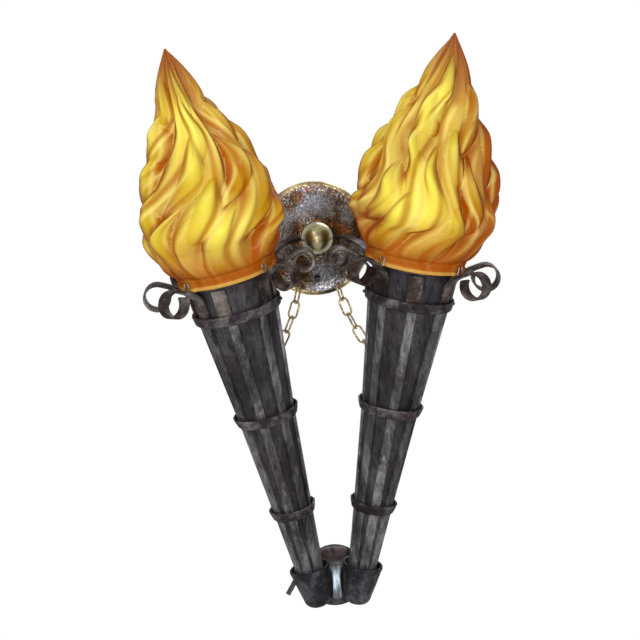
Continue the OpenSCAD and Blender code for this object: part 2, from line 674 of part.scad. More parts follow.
module lock_nut() {
    color(BRASS) rotate([90, 0, 0]) translate([0, 0, nut_y]) difference() {
        cylinder(h = nut_t, r = nut_r - 0.2, $fn = 6);
        translate([0, 0, -through])
            cylinder(h = nut_t + 2 * through, r = nipple_r + running_gap, $fn = round_fn);
    }
}
module ball_nut() {
    color(BRASS) rotate([90, 0, 0]) difference() {
        union() {
            translate([0, 0, ball_y]) sphere(r = ball_r, $fn = fine);
            translate([0, 0, nut_y + nut_t + move_gap]) cylinder(h = ball_r, r = nut_r, $fn = round_fn);
        }
        translate([0, 0, nut_y]) cylinder(h = ball_y - 2 - nut_y, r = nipple_r + running_gap, $fn = round_fn);
    }
}
module plate_screw() {
    color(WORN_IRON) translate([0, 0, -plate_screw_z]) rotate([90, 0, 0]) {
        translate([0, 0, -14]) cylinder(h = 14 + plate_screw_y, r = 1.8, $fn = small_fn);
        translate([0, 0, plate_screw_y]) difference() {
            intersection() {
                translate([0, 0, -1]) sphere(r = screw_head_r, $fn = small_fn);
                translate([-5, -5, 0]) cube([10, 10, 5]);
            }
            translate([-4, -0.4, 1.6]) cube([8, 0.8, 2]);
        }
    }
}

// ---- arms ----------------------------------------------------------------
// Each arm is a strap bent in the upright plane from the nipple to the torch's back.
arm_h = torch_len - 22;
arm_tip = 8;
tab_w = 12;
arm_root = [9, -tab_y - tab_t];
torch_x = from_torch([1, 0, 0]) - foot_at;
torch_y = from_torch([0, 1, 0]) - foot_at;
// Azimuth at which the torch's wall faces the arm's root.
to_root = concat(arm_root, 0) - from_torch([0, 0, arm_h]);
level_to_root = [to_root[0], to_root[1], 0];
arm_azimuth = atan2(level_to_root * torch_x, -level_to_root * torch_y);
// A point at height h on the torch, at a distance d out from its wall, in line with the arm.
function arm_point(h, d) = let (u = sheet_r(h) + d)
    from_torch([u * sin(arm_azimuth), -u * cos(arm_azimuth), h]);
arm_end = arm_point(arm_h, arm_t / 2 + 0.2);
arm_run = [arm_end[0], arm_end[1]] - arm_root;
// The arm's own plane has its root at zero; points are [distance, height].
function in_arm_plane(p) = [([p[0], p[1]] - arm_root) * unit(arm_run), p[2]];
arm_toe = in_arm_plane(arm_point(arm_h - arm_tip, arm_t / 2 + 0.2));
arm_rise = unit(in_arm_plane(arm_point(arm_h + arm_tip, arm_t / 2 + 0.2)) - arm_toe);
module arm(side) {
    y0 = tab_y + (side > 0 ? 0 : tab_t + seat_gap);
    bend = arm_toe + 1.6 * arm_tip * arm_rise;
    path = concat([for (i = [0:13])
            bezier([-3, 1], [arm_toe[0] * 0.35, 1], [arm_toe[0] * 0.85, -2], bend, i / 14)],
        [bend, arm_toe]);
    color(IRON) on_side(side) difference() {
        union() {
            rotate([90, 0, 0]) translate([0, 0, y0]) cylinder(h = tab_t, r = nut_r, $fn = round_fn);
            translate([0, -y0 - tab_t, -tab_w / 2]) cube([tab_w, tab_t, tab_w]);
            translate(concat(arm_root, 0)) rotate([0, 0, atan2(arm_run[1], arm_run[0])])
                strap(path, arm_t, arm_w);
        }
        // The nipple's hole, room for the lock nut and ball, and the tab's flat back.
        rotate([90, 0, 0]) cylinder(h = ball_y, r = nipple_r + running_gap, $fn = round_fn);
        rotate([90, 0, 0]) translate([0, 0, y0 + tab_t])
            cylinder(h = ball_y, r = nut_r + 2 * move_gap, $fn = round_fn);
        translate([-plate_r, -y0, -plate_r]) cube([2 * plate_r, plate_r, 2 * plate_r]);
    }
}
module arm_rivets() {
    color(WORN_IRON) for (side = [-1, 1]) on_torch(side) at_azimuth(arm_azimuth)
        translate([sheet_r(arm_h - 2) + arm_t + 0.2 + seat_gap, 0, arm_h - 2]) rotate([0, 5, 0]) rivet(2.6);
}

// ---- chains --------------------------------------------------------------
chain_x = 20;
chain_z = -49;
eye_r = 3.8;
eye_reach = 9;
pitch = link_len - 4 * wire_r - 0.3;
chain_slack = 0.015;
// An end link reaches past its eye's wire by this much.
hook = wire_r + 0.3;
chain_span = pitch * link_count * (1 - chain_slack);
eye_shank = 4;
rim_face = 5.2;
chain_top = [chain_x, -rim_face - eye_shank - 2 * eye_r, chain_z];
chain_torch_azimuth = 176;
// Where the chain meets the torch's eye, for an eye at height h on the torch.
function chain_end(h) = let (u = sheet_r(h) + rib_t + eye_reach)
    from_torch([u * sin(chain_torch_azimuth), -u * cos(chain_torch_azimuth), h]);
// The eye's height at which the chain just spans the distance, by halving.
function eye_height(low, high, n) = let (h = (low + high) / 2)
    n == 0 ? h : length_of(chain_end(h) - chain_top) > chain_span - 2 * hook
        ? eye_height(h, high, n - 1) : eye_height(low, h, n - 1);
chain_low = chain_end(eye_height(120, 260, 24));
// Bend between two links that takes up the slack.
link_bend = sqrt(24 * chain_slack / (link_count * link_count - 1)) * 180 / PI;
module chain_link() {
    run = link_len / 2 - link_w / 2;
    bend = link_w / 2 - wire_r;
    for (s = [-1, 1]) {
        translate([s * bend, 0, -run]) cylinder(h = 2 * run, r = wire_r, $fn = small_fn);
        translate([0, 0, s * run]) rotate([s * 90, 0, 0]) rotate_extrude(angle = 180, $fn = small_fn)
            translate([bend, 0]) circle(r = wire_r, $fn = wire_fn);
    }
}
// Stands its children at the chain's top, +Z down along the chord, +Y level and to the back.
module on_chord() {
    chord = chain_low - chain_top;
    turn = atan2(chord[1], chord[0]);
    translate(chain_top) rotate([0, 0, turn]) rotate([0, acos(chord[2] / length_of(chord)), 0]) children();
}
// Link i hangs from link i - 1; each is turned a quarter from the last.
function hang(i) = ((link_count - 1) / 2 - i) * link_bend;
function link_end(i) = i == 0 ? [0, 0, 0] : link_end(i - 1) + pitch * [sin(hang(i - 1)), 0, cos(hang(i - 1))];
module chain(side) {
    color(BRASS) on_side(side) on_chord() translate([0, 0, -hook]) for (i = [0:link_count - 1])
        translate((link_end(i) + link_end(i + 1)) / 2) rotate([0, hang(i), 0])
            rotate([0, 0, i % 2 == 0 ? 90 : 0]) chain_link();
}
// An eye with its ring flat and its shank along +Y; the link bears on the origin.
module eye(shank) {
    translate([0, eye_r, 0]) rotate_extrude($fn = small_fn)
        translate([eye_r, 0]) circle(r = wire_r, $fn = wire_fn);
    translate([0, 2 * eye_r, 0]) rotate([-90, 0, 0]) cylinder(h = shank, r = wire_r, $fn = small_fn);
}
module chain_eyes() {
    run = chain_low - chain_top;
    axis_share = run * torch_axis;
    tangent_share = run * (from_torch([cos(chain_torch_azimuth), sin(chain_torch_azimuth), 0]) - foot_at);
    color(BRASS) for (side = [-1, 1]) {
        on_side(side) translate(chain_top) rotate([0, atan2(run[0], run[2]), 0]) eye(eye_shank);
        on_side(side) translate(chain_low) rotate([lean, splay, 0]) at_azimuth(chain_torch_azimuth)
            rotate([atan2(tangent_share, -axis_share), 0, 0]) rotate([0, 0, 90])
            eye(eye_reach - 2 * eye_r - seat_gap);
    }
}

backplate();
crossbar();
nipple();
lock_nut();
ball_nut();
plate_screw();
arm(-1);  // arm_left
arm(1);  // arm_right
arm_rivets();
foot_plate();
foot_bar();
cup(-1);  // cup_left
cup(1);  // cup_right
clamp_screw();
torch_body(-1);  // torch_body_left
torch_body(1);  // torch_body_right
rib_straps(-1);  // rib_straps_left
rib_straps(1);  // rib_straps_right
low_band(-1);  // low_band_left
low_band(1);  // low_band_right
middle_band(-1);  // middle_band_left
middle_band(1);  // middle_band_right
top_band(-1);  // top_band_left
top_band(1);  // top_band_right
band_rivets(-1);  // band_rivets_left
band_rivets(1);  // band_rivets_right
plain_straps(-1);  // plain_straps_left
plain_straps(1);  // plain_straps_right
side_scrolls(-1);  // side_scrolls_left
side_scrolls(1);  // side_scrolls_right
front_scrolls(-1);  // front_scrolls_left
front_scrolls(1);  // front_scrolls_right
rear_scroll(-1);  // rear_scroll_left
rear_scroll(1);  // rear_scroll_right
seat_ring(-1);  // seat_ring_left
seat_ring(1);  // seat_ring_right
shade_pins(-1);  // shade_pins_left
shade_pins(1);  // shade_pins_right
foot_plug(-1);  // foot_plug_left
foot_plug(1);  // foot_plug_right
holder_bridge(-1);  // holder_bridge_left
holder_bridge(1);  // holder_bridge_right
holder_stem(-1);  // holder_stem_left
holder_stem(1);  // holder_stem_right
lamp_holder(-1);  // lamp_holder_left
lamp_holder(1);  // lamp_holder_right
bulb(-1);  // bulb_left
bulb(1);  // bulb_right
shade(-1, mould_turn_left);  // shade_left
shade(1, mould_turn_right);  // shade_right
chain_eyes();
chain(-1);  // chain_left
chain(1);  // chain_right
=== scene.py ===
import json
import math

import bpy
from mathutils import Matrix, Vector


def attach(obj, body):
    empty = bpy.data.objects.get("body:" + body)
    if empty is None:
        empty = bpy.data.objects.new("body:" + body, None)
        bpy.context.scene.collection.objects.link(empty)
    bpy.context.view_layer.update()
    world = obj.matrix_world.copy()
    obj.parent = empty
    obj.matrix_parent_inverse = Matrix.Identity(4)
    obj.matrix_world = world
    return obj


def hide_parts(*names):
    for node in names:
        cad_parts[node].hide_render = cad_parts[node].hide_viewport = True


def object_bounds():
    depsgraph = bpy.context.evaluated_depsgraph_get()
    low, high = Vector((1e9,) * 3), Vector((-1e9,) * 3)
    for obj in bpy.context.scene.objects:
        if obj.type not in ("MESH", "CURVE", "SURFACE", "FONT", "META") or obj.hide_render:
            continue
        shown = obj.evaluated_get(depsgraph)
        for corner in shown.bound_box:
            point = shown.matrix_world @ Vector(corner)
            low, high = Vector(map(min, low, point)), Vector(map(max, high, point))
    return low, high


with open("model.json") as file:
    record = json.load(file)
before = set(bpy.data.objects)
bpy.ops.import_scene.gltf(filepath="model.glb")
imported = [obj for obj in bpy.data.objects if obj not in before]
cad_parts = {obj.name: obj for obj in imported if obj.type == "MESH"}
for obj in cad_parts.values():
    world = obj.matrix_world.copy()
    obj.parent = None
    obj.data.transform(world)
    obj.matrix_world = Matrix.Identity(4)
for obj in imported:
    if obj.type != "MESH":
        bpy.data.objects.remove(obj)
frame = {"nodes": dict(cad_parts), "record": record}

CAD_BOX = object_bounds()

# Camera, from the photograph's perspective: place in metres, angles in degrees.
CAMERA_AT = (-0.0955, -2.0, 0.004)
CAMERA_YAW, CAMERA_PITCH, CAMERA_ROLL = -2.75, -2.49, 3.45
# Focal length as a share of the sensor's width.
FOCAL_SHARE = 3.089
SENSOR_MM = 36.0

# Area lights: (place, what they face, side in metres, power in watts).
LIGHTS = {
    "key": ((-0.9, -1.5, 1.1), (0, 0, 0), 0.9, 16),
    "fill": ((1.3, -1.3, 0.3), (0, 0, 0), 1.2, 4),
    "front": ((-0.15, -1.7, 0.12), (0, 0, 0), 0.16, 7),
    "low": ((-0.15, -1.2, -0.45), (0, 0, -0.1), 0.5, 2.5),
    "rim": ((0.5, 0.9, 1.0), (0, 0, 0), 0.8, 8),
}
WORLD_TINT, WORLD_STRENGTH = (0.96, 0.97, 1.0, 1.0), 0.35
WHITE = (1, 1, 1, 1)
FLOOR_GREY = (0.85, 0.85, 0.85, 1)
FLOOR_SIDE, FLOOR_DROP = 12, 0.25


def linear(hex_colour):
    """An sRGB colour written as six hex digits, as linear RGBA."""
    parts = [int(hex_colour[i:i + 2], 16) / 255 for i in (0, 2, 4)]
    return tuple(c / 12.92 if c <= 0.04045 else ((c + 0.055) / 1.055) ** 2.4
                 for c in parts) + (1.0,)


# ---- materials -------------------------------------------------------------
# Lengths are in metres. Noise and cell scales are in cycles to a metre.
# Where the backplate's rolled rim starts, from the plate's middle, and how fast it turns gold.
PLATE_RIM, RIM_EDGE = 0.0545, 0.002
# The brown patch about the ball: solid to the first radius, gone at the second.
BALL_BROWN = (0.02, 0.034)
# Where the foot bar's painted highlight lies: from the bar's bottom to its top, and across its
# waist.
BAR_SPAN = (-0.372, -0.310)
BAR_WIDTH = (-0.009, 0.009)
# Dulls what iron mirrors at a glancing angle.
IRON_EDGE = (0.3, 0.3, 0.32, 1.0)
# Texture drawn out along Z: mottling on the torches, fine lines on them, streaks on the bar.
MOTTLED_ALONG, DRAWN_ALONG, STREAKED_ALONG = (1.0, 1.0, 0.3), (1.0, 1.0, 0.05), (1.0, 1.0, 0.3)
NOTHING, FULL = "000000", "FFFFFF"


class Shader:
    """A node material with one Principled BSDF and short ways to build what feeds it."""

    def __init__(self, name, **sockets):
        self.material = bpy.data.materials.new(name)
        self.material.use_nodes = True
        self.tree = self.material.node_tree
        self.bsdf = self.tree.nodes["Principled BSDF"]
        self.place = self.node("ShaderNodeTexCoord").outputs["Object"]
        for socket, value in sockets.items():
            title = socket.replace("_", " ").title().replace("Ior", "IOR")
            self.bsdf.inputs[title].default_value = value

    def node(self, kind, **settings):
        made = self.tree.nodes.new(kind)
        for key, value in settings.items():
            setattr(made, key, value)
        return made

    def feed(self, target, value):
        """Links an output into a socket, or sets the socket to a plain value."""
        if hasattr(value, "is_output"):
            self.tree.links.new(value, target)
        else:
            target.default_value = value

    def noise(self, scale, detail=4.0, roughness=0.6, stretch=None):
        made = self.node("ShaderNodeTexNoise")
        made.inputs["Scale"].default_value = scale
        made.inputs["Detail"].default_value = detail
        made.inputs["Roughness"].default_value = roughness
        place = self.place
        if stretch:
            mapping = self.node("ShaderNodeMapping")
            mapping.inputs["Scale"].default_value = stretch
            self.feed(mapping.inputs["Vector"], place)
            place = mapping.outputs["Vector"]
        self.feed(made.inputs["Vector"], place)
        return made.outputs["Fac"]

    def cells(self, scale):
        made = self.node("ShaderNodeTexVoronoi", feature="SMOOTH_F1")
        made.inputs["Scale"].default_value = scale
        self.feed(made.inputs["Vector"], self.place)
        return made.outputs["Distance"]

    def ramp(self, value, *stops):
        """Each stop is (position, hex colour)."""
        made = self.node("ShaderNodeValToRGB")
        elements = made.color_ramp.elements
        while len(elements) < len(stops):
            elements.new(0.5)
        for element, (position, colour) in zip(elements, stops):
            element.position = position
            element.color = linear(colour)
        self.feed(made.inputs["Fac"], value)
        return made.outputs["Color"]

    def spread(self, value, low, high, to_low=0.0, to_high=1.0):
        """The value's range from low to high, mapped to the range from to_low to to_high."""
        made = self.node("ShaderNodeMapRange")
        sockets = ("From Min", "From Max", "To Min", "To Max")
        for socket, number in zip(sockets, (low, high, to_low, to_high)):
            made.inputs[socket].default_value = number
        self.feed(made.inputs["Value"], value)
        return made.outputs["Result"]

    def mix(self, share, first, second):
        made = self.node("ShaderNodeMix", data_type="RGBA")
        self.feed(made.inputs["Factor"], share)
        self.feed(made.inputs["A"], first)
        self.feed(made.inputs["B"], second)
        return made.outputs["Result"]

    def stain(self, tone, colour, value, low, high, to_low, to_high):
        """The tone, with a share of the colour that follows the value as in spread."""
        return self.mix(self.spread(value, low, high, to_low, to_high), tone, linear(colour))

    def bump(self, height, strength, distance, below=None):
        made = self.node("ShaderNodeBump")
        made.inputs["Strength"].default_value = strength
        made.inputs["Distance"].default_value = distance
        self.feed(made.inputs["Height"], height)
        if below:
            self.feed(made.inputs["Normal"], below)
        return made.outputs["Normal"]

    def set(self, socket, value):
        self.feed(self.bsdf.inputs[socket], value)


def forged_iron(name, dark, mid, light, rust="3A2824", rough=0.5, hammer=0.5,
                lengthwise=False, metal=0.6):
    """Blackened iron: mottled, hammered, worn bright in specks and browned by rust."""
    s = Shader(name, metallic=metal, specular_ior_level=0.25, specular_tint=IRON_EDGE)
    run = MOTTLED_ALONG if lengthwise else None
    patches = s.noise(34.0, detail=8.0, roughness=0.72, stretch=run)
    browned = s.noise(21.0, detail=5.0, roughness=0.6)
    grain = s.noise(520.0, detail=4.0, roughness=0.7)
    wear = s.noise(170.0, detail=6.0, roughness=0.75, stretch=run)
    base = s.ramp(patches, (0.30, dark), (0.48, mid), (0.68, light))
    base = s.stain(base, rust, browned, 0.52, 0.68, 0.0, 0.55)
    base = s.stain(base, light, wear, 0.58, 0.72, 0.0, 0.85)
    if lengthwise:
        drawn = s.noise(300.0, detail=3.0, roughness=0.6, stretch=DRAWN_ALONG)
        base = s.stain(base, dark, drawn, 0.5, 0.66, 0.0, 0.6)
    s.set("Base Color", s.stain(base, dark, grain, 0.3, 0.7, 0.35, 0.0))
    s.set("Roughness", s.spread(wear, 0.35, 0.7, rough + 0.12, rough - 0.16))
    hammered = s.bump(s.cells(120.0), hammer, 0.0014)
    dented = s.bump(patches, 0.6, 0.002, hammered)
    s.set("Normal", s.bump(grain, 0.5, 0.0004, dented))
    return s.material


def bar_iron(name):
    """The foot bar: brown at its ends, with a painted highlight of pale bluish steel down its
    waist between the cups.
    """
    s = Shader(name, metallic=0.5, specular_tint=IRON_EDGE)
    at = s.node("ShaderNodeSeparateXYZ")
    s.feed(at.inputs["Vector"], s.place)
    # Painted highlight: a pale bluish patch down the middle of the waist, where the bar's curve
    # would catch the light.
    height = s.ramp(s.spread(at.outputs["Z"], *BAR_SPAN),
                    (0.1, NOTHING), (0.35, FULL), (0.55, FULL), (0.75, NOTHING))
    across = s.ramp(s.spread(at.outputs["X"], *BAR_WIDTH),
                    (0.15, NOTHING), (0.35, FULL), (0.6, FULL), (0.8, NOTHING))
    painted_highlight_share = s.mix(height, linear(NOTHING), across)
    streaks = s.noise(160.0, detail=5.0, stretch=STREAKED_ALONG)
    # The painted highlight's pale bluish steel, streaked.
    pale = s.ramp(streaks, (0.35, "3A444E"), (0.5, "76848F"), (0.65, "C4D0DA"))
    dark = s.ramp(streaks, (0.35, "241E1E"), (0.6, "4C403E"))
    s.set("Base Color", s.mix(painted_highlight_share, dark, pale))
    s.set("Roughness", 0.36)
    s.set("Normal", s.bump(streaks, 0.5, 0.001))
    return s.material


def brass(name, dark, light, rough=0.25, tarnish="3A2E1C", coat=0.0):
    """Aged brass or steel: cloudy, with darker tarnish."""
    s = Shader(name, metallic=1.0, coat_weight=coat, coat_roughness=0.12)
    patches = s.noise(75.0, detail=6.0)
    aged = s.noise(240.0, detail=5.0, roughness=0.7)
    tone = s.ramp(patches, (0.35, dark), (0.62, light))
    s.set("Base Color", s.stain(tone, tarnish, aged, 0.5, 0.72, 0.0, 0.6))
    s.set("Roughness", s.spread(aged, 0.3, 0.7, rough, rough + 0.15))
    s.set("Normal", s.bump(s.noise(420.0), 0.25, 0.0003))
    return s.material


def plate_brass(name):
    """Hammered plate: silvery grain, brown about the ball, rust patches and a pale gold rim."""
    s = Shader(name, metallic=0.85)
    broad = s.noise(19.0, detail=5.0, roughness=0.6)
    middle = s.noise(48.0, detail=6.0, roughness=0.7)
    fine = s.noise(620.0, detail=3.0, roughness=0.7)
    flat = s.node("ShaderNodeVectorMath", operation="MULTIPLY")
    s.feed(flat.inputs[0], s.place)
    flat.inputs[1].default_value = (1, 0, 1)
    reach = s.node("ShaderNodeVectorMath", operation="LENGTH")
    s.feed(reach.inputs[0], flat.outputs["Vector"])
    radius = reach.outputs["Value"]
    silver = s.ramp(fine, (0.36, "504C4C"), (0.5, "7E7C80"), (0.64, "B0B0B6"))
    brown = s.ramp(fine, (0.36, "1C1510"), (0.52, "44321F"), (0.68, "7A6040"))
    rust = s.ramp(fine, (0.36, "4A2812"), (0.55, "80481E"), (0.7, "AC7440"))
    gold = s.ramp(broad, (0.4, "3A2E20"), (0.5, "94805A"), (0.6, "D8C698"))
    base = s.mix(s.spread(broad, 0.45, 0.56), silver, brown)
    base = s.mix(s.spread(radius, *BALL_BROWN, 0.7, 0.0), base, brown)
    base = s.mix(s.spread(middle, 0.54, 0.64), base, rust)
    s.set("Base Color", s.mix(s.spread(radius, PLATE_RIM - RIM_EDGE, PLATE_RIM), base, gold))
    s.set("Roughness", s.spread(fine, 0.3, 0.7, 0.48, 0.26))
    dimpled = s.bump(s.cells(330.0), 0.6, 0.0010)
    s.set("Normal", s.bump(middle, 0.5, 0.0015, dimpled))
    return s.material


def amber_glass(name):
    """Satin amber glass: golden licks with pale crests, amber valleys, deep orange edges, and
    painted highlights, painted shade and a painted glow.

    The flame's mesh carries two sets of colours that say what each place is: see flame_mesh.
    """
    s = Shader(name, roughness=0.36, specular_ior_level=0.0,
               coat_weight=0.15, coat_roughness=0.24)
    lick = s.node("ShaderNodeVertexColor", layer_name="lick")
    tint = s.node("ShaderNodeVertexColor", layer_name="tint")
    in_lick, in_tint = s.node("ShaderNodeSeparateColor"), s.node("ShaderNodeSeparateColor")
    s.feed(in_lick.inputs["Color"], lick.outputs["Color"])
    s.feed(in_tint.inputs["Color"], tint.outputs["Color"])
    raised, ridge, height = (in_lick.outputs[channel] for channel in ("Red", "Green", "Blue"))
    painted_light_and_shade, groove = in_tint.outputs["Red"], in_tint.outputs["Green"]
    off = lick.outputs["Alpha"]
    cloud = s.noise(24.0, detail=3.0)
    tone = s.ramp(raised, (0.05, "762800"), (0.35, "9A5202"), (0.55, "B68810"),
                  (0.78, "C8AA2C"), (1.0, "DACA50"))
    tone = s.stain(tone, "D6C876", cloud, 0.45, 0.7, 0.0, 0.4)
    # Painted light and shade: pale highlights at the front, deep orange shade on the side away
    # from the key light.
    tone = s.stain(tone, "F8EA5A", painted_light_and_shade, 0.5, 1.0, 0.0, 0.8)
    tone = s.stain(tone, "9A3000", painted_light_and_shade, 0.5, 0.0, 0.0, 0.9)
    # A pale line inside each tongue's edge, and the deep edge itself.
    crest = s.ramp(off, (0.44, NOTHING), (0.58, "B0B0B0"), (0.7, NOTHING))
    tone = s.mix(crest, tone, linear("F0E27A"))
    tone = s.stain(tone, "A44800", off, 0.72, 0.95, 0.0, 0.85)
    # Painted highlight: the crests of the fine folds are painted pale.
    tone = s.stain(tone, "F0E07C", ridge, 0.3, 0.95, 0.0, 0.5)
    # Painted shade: the grooves beside the folds are painted deep orange.
    tone = s.stain(tone, "9A4800", groove, 0.15, 0.8, 0.0, 0.6)
    # By height: the deep foot, the pale rim of the neck (a painted highlight), the brown tip.
    tone = s.stain(tone, "984400", height, 0.04, 0.25, 0.88, 0.0)
    tone = s.stain(tone, "D0A850", height, 0.016, 0.014, 0.0, 0.6)
    tone = s.stain(tone, "8A4424", height, 0.74, 0.93, 0.0, 0.85)
    # The glass looks deeper where it is seen edge on.
    facing = s.node("ShaderNodeLayerWeight")
    facing.inputs["Blend"].default_value = 0.4
    tone = s.stain(tone, "8C3600", facing.outputs["Facing"], 0.28, 0.75, 0.0, 0.85)
    s.set("Base Color", tone)
    # Painted glow: the glass gives off light of its own, more in its valleys.
    s.set("Emission Color", s.mix(0.4, tone, linear("C87400")))
    s.set("Emission Strength", s.spread(raised, 0.75, 0.2, 0.06, 0.2))
    s.set("Normal", s.bump(s.noise(110.0), 0.12, 0.0005))
    return s.material


def glazed(name, colour, shade):
    """Lamp glass or porcelain: a glazed skin with faint clouds in its colour and gloss."""
    s = Shader(name, coat_weight=0.5, coat_roughness=0.1)
    clouds, specks = s.noise(45.0), s.noise(600.0, detail=3.0)
    share = s.spread(specks, 0.6, 0.75, 0.0, 0.5)
    s.set("Base Color", s.mix(share, s.ramp(clouds, (0.35, shade), (0.65, colour)),
                              linear(shade)))
    s.set("Roughness", s.spread(clouds, 0.3, 0.7, 0.3, 0.42))
    s.set("Normal", s.bump(clouds, 0.1, 0.0005))
    return s.material


# Slot of the record: (recipe, its colours from dark to light, what else it takes).
RECIPES = {
    "iron": (forged_iron, ("121113", "353034", "6A6466"), {}),
    "body_iron": (forged_iron, ("161416", "383538", "5C585C"),
                  {"hammer": 0.35, "lengthwise": True, "metal": 0.4}),
    "rib_iron": (forged_iron, ("1B1A1B", "545254", "A3A1A3"),
                 {"rough": 0.44, "hammer": 0.35, "lengthwise": True, "metal": 0.5}),
    "band_iron": (forged_iron, ("161416", "3C363A", "8C8484"), {"rust": "463230"}),
    "cup_iron": (forged_iron, ("0C0C0E", "2A292C", "6C6A70"),
                 {"rust": "221E1E", "rough": 0.46, "metal": 0.45}),
    "scroll_iron": (forged_iron, ("1C1616", "443A36", "968C86"),
                    {"rust": "4E342A", "rough": 0.38, "metal": 0.7}),
    "worn_iron": (forged_iron, ("1E1C1E", "5C565A", "B4B0B2"), {"rough": 0.36, "metal": 0.8}),
    "bar_iron": (bar_iron, (), {}),
    "plate_brass": (plate_brass, (), {}),
    "brass": (brass, ("6A5424", "B8A060"), {}),
    "ball_brass": (brass, ("6E6846", "968C62"), {"rough": 0.3, "tarnish": "4E462A", "coat": 1.0}),
    "chain_brass": (brass, ("7A6644", "BCA880"), {}),
    "pin_steel": (brass, ("5A544C", "A8A098"), {}),
    "flame_glass": (amber_glass, (), {}),
    "lamp_glass": (glazed, ("F2EAD0", "E2D8BA"), {}),
    "porcelain": (glazed, ("DAD6CC", "C2BCAE"), {}),
}
MATERIALS = {name: make(name, *colours, **settings)
             for name, (make, colours, settings) in RECIPES.items()}
# Nodes with a finish of their own in place of their slot's.
OWN_FINISH = {"foot_bar": "bar_iron"}


def dress_nodes():
    slots = {row["node"]: row["material_slot"] for row in frame["record"]["subparts"]}
    slots.update(OWN_FINISH)
    for name, obj in frame["nodes"].items():
        obj.data.materials.clear()
        obj.data.materials.append(MATERIALS[slots[name]])


# ---- glass flames --------------------------------------------------------------
# Sizes in millimetres, angles in degrees, as in the part's source.
MM = 0.001
NECK_R, NECK_H = 49.25, 11.0
FLAME_R, FLAME_H = 78.0, 226.0
GLASS_T, TIP_R = 3.2, 1.0
TONGUE_RINGS, TONGUE_LOW, TONGUE_HIGH, RING_TURN, TIP_STAGGER = 5, 7, 5, 75, 0.05
TONGUE_DEPTH, TONGUE_WAVE, TONGUE_TWIST = 13.0, 8.0, 12.0
# A ring's root and tip, as shares of the height: at the first ring, and more for each ring.
RING_ROOT, RING_TIP, RING_TIP_RISE = 0.165, 0.36, 0.153
# How fast a tongue waves as it rises, and how the tips' stagger runs on from tongue to tongue.
TONGUE_SWING, STAGGER_TURN = 330, 137
# A tongue's outline and swell: how fast it widens and tapers, how much of its swell it has at
# its root, how much more each ring swells, and how late it drops at its tip.
TONGUE_SPREAD, TONGUE_TAPER, ROOT_SWELL, RING_SWELL, TIP_DROP = 4, 0.6, 0.3, 0.05, 6
STRAND_COUNT, STRAND_HEIGHT, STRAND_SHARP = 8, 0.6, 0.8
FLOW_TWIST, FLOW_WAVE, FLOW_SWING = 80.0, 16.0, 500.0
# Shares of the height over which the flow and the relief set in above the neck, and how the
# relief thins where the flame does: its least share, and the share of the radius that adds all.
FLOW_OVER, RELIEF_OVER, RELIEF_LEAST, RELIEF_FULL = 0.15, 0.12, 0.22, 0.76
LUG_TURN, LUG_HALF, LUG_H, LUG_T = 50.0, 8.5, 14.0, 2.0
MOULD_TURN = {"left": 54.0, "right": 258.0}
BELLY_H = FLAME_H * 0.257
BELLY_STEPS, TAPER_STEPS = 24, 48

# Mesh: points round the flame, rows up its outside, its neck and its inside; shares of the
# height at which the outside and the inside end.
FLAME_SIDES, FLAME_RINGS, NECK_RINGS, INSIDE_RINGS = 256, 220, 12, 24
OUTSIDE_TOP, INSIDE_TOP = 0.985, 0.86
# The dressed glass lies this far inside the solid's skin. Its creases are this deep, its valleys
# this many times the solid's, and its folds are rounded this many times over.
SKIN, CREST, UNDERCUT, SOFTEN = 0.35, 1.25, 1.8, 2
# The tongues flatten towards the tip: by what share, from what height, over how much of it.
TIP_SMOOTH, SMOOTH_FROM, SMOOTH_OVER = 0.6, 0.75, 0.2
# The groove round the neck: its depth, and its height and half width as shares of the neck.
GROOVE, GROOVE_AT, GROOVE_HALF = 1.2, 0.5, 0.16
# What counts as raised for the colour: lugs, the neck's rounded rim, the neck above it.
LUG_RAISED, RIM_RAISED, NECK_RAISED, RIM_SHARE = 0.9, 0.95, 0.35, 0.35
# Two families of fine folds: how many, how far each sways, how often, and to which side.
FOLDS = ((13, 11.0, 420.0, 1), (15, 13.0, 480.0, -1))
# A finer ripple in each fold: its size, how often up the flame, and how many round it.
RIPPLE, RIPPLE_SWING, RIPPLE_TURNS = 3, 900, 2
# A fold's strength: its mean and how far it swings, how often up and round the flame, and the
# drift of that rhythm. The power draws the fold thin.
PULSE_MEAN, PULSE_DEPTH, PULSE_SWING, PULSE_TURNS = 0.4, 0.6, 560, 3
DRIFT, DRIFT_SWING, FOLD_SHARP = 60, 500, 6
# Folds end at this share of the height and fade below it; a groove follows each at this phase.
FOLD_TOP, FOLD_FADE, GROOVE_PHASE = 0.94, 0.26, 0.3
# Painted highlights: pale patches at the front of the glass, where the light falls, (azimuth,
# share of the height), and their half sizes.
PAINTED_HIGHLIGHTS = {"left": [(-75, 0.22), (-85, 0.68)], "right": [(-100, 0.3), (-90, 0.72)]}
HIGHLIGHT_TURN, HIGHLIGHT_RISE = 38, 0.16
# How deep the painted shade on the side away from the key light is, and the azimuth where it is
# deepest.
PAINTED_SHADE, PAINTED_SHADE_AT = {"left": 0.6, "right": 1.0}, -5


def sin_of(degrees):
    return math.sin(math.radians(degrees))


def cos_of(degrees):
    return math.cos(math.radians(degrees))


def bezier(a, b, c, d, t):
    return tuple((1 - t) ** 3 * p + 3 * (1 - t) ** 2 * t * q + 3 * (1 - t) * t * t * r + t ** 3 * s
                 for p, q, r, s in zip(a, b, c, d))


